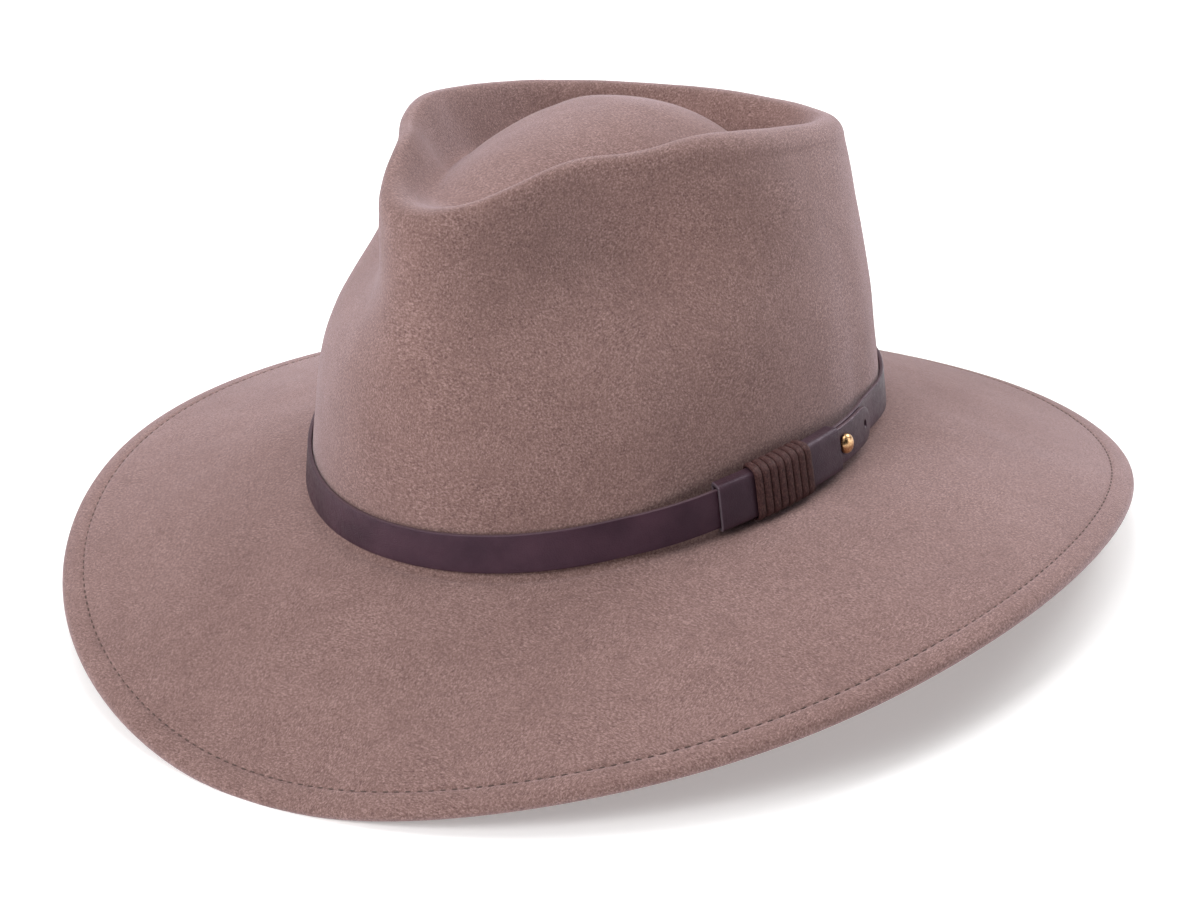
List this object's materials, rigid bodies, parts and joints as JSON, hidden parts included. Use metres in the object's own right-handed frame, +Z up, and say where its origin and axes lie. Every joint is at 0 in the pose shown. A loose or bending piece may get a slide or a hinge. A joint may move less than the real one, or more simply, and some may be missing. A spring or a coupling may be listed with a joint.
{
  "type": "wool felt hat",
  "caption": "Wide-brimmed wool felt hat with a pinched teardrop crown, a turned-under brim edge and a leather band held by a laced keeper and a brass stud.",
  "frame": {"origin": "on the floor that the hat rests on, under the middle of its overall length and width", "axes": "+Z up out of the crown, -Y to the front of the hat, +X to the wearer's left, where the band is fastened"},
  "size_m": [0.3288, 0.3616, 0.15],
  "materials": {
    "felt": "mottled grey-brown wool felt with a short nap",
    "band_leather": "smooth dark brown leather, satin, paler cut edges",
    "thong_leather": "rough brown leather lace",
    "stud_brass": "worn antique brass"
  },
  "bodies": {
    "root": {"felt_body": "felt", "band_strap": "band_leather", "keeper": "band_leather", "thong_wrap": "thong_leather", "stud": "stud_brass"}
  },
  "joints": []
}
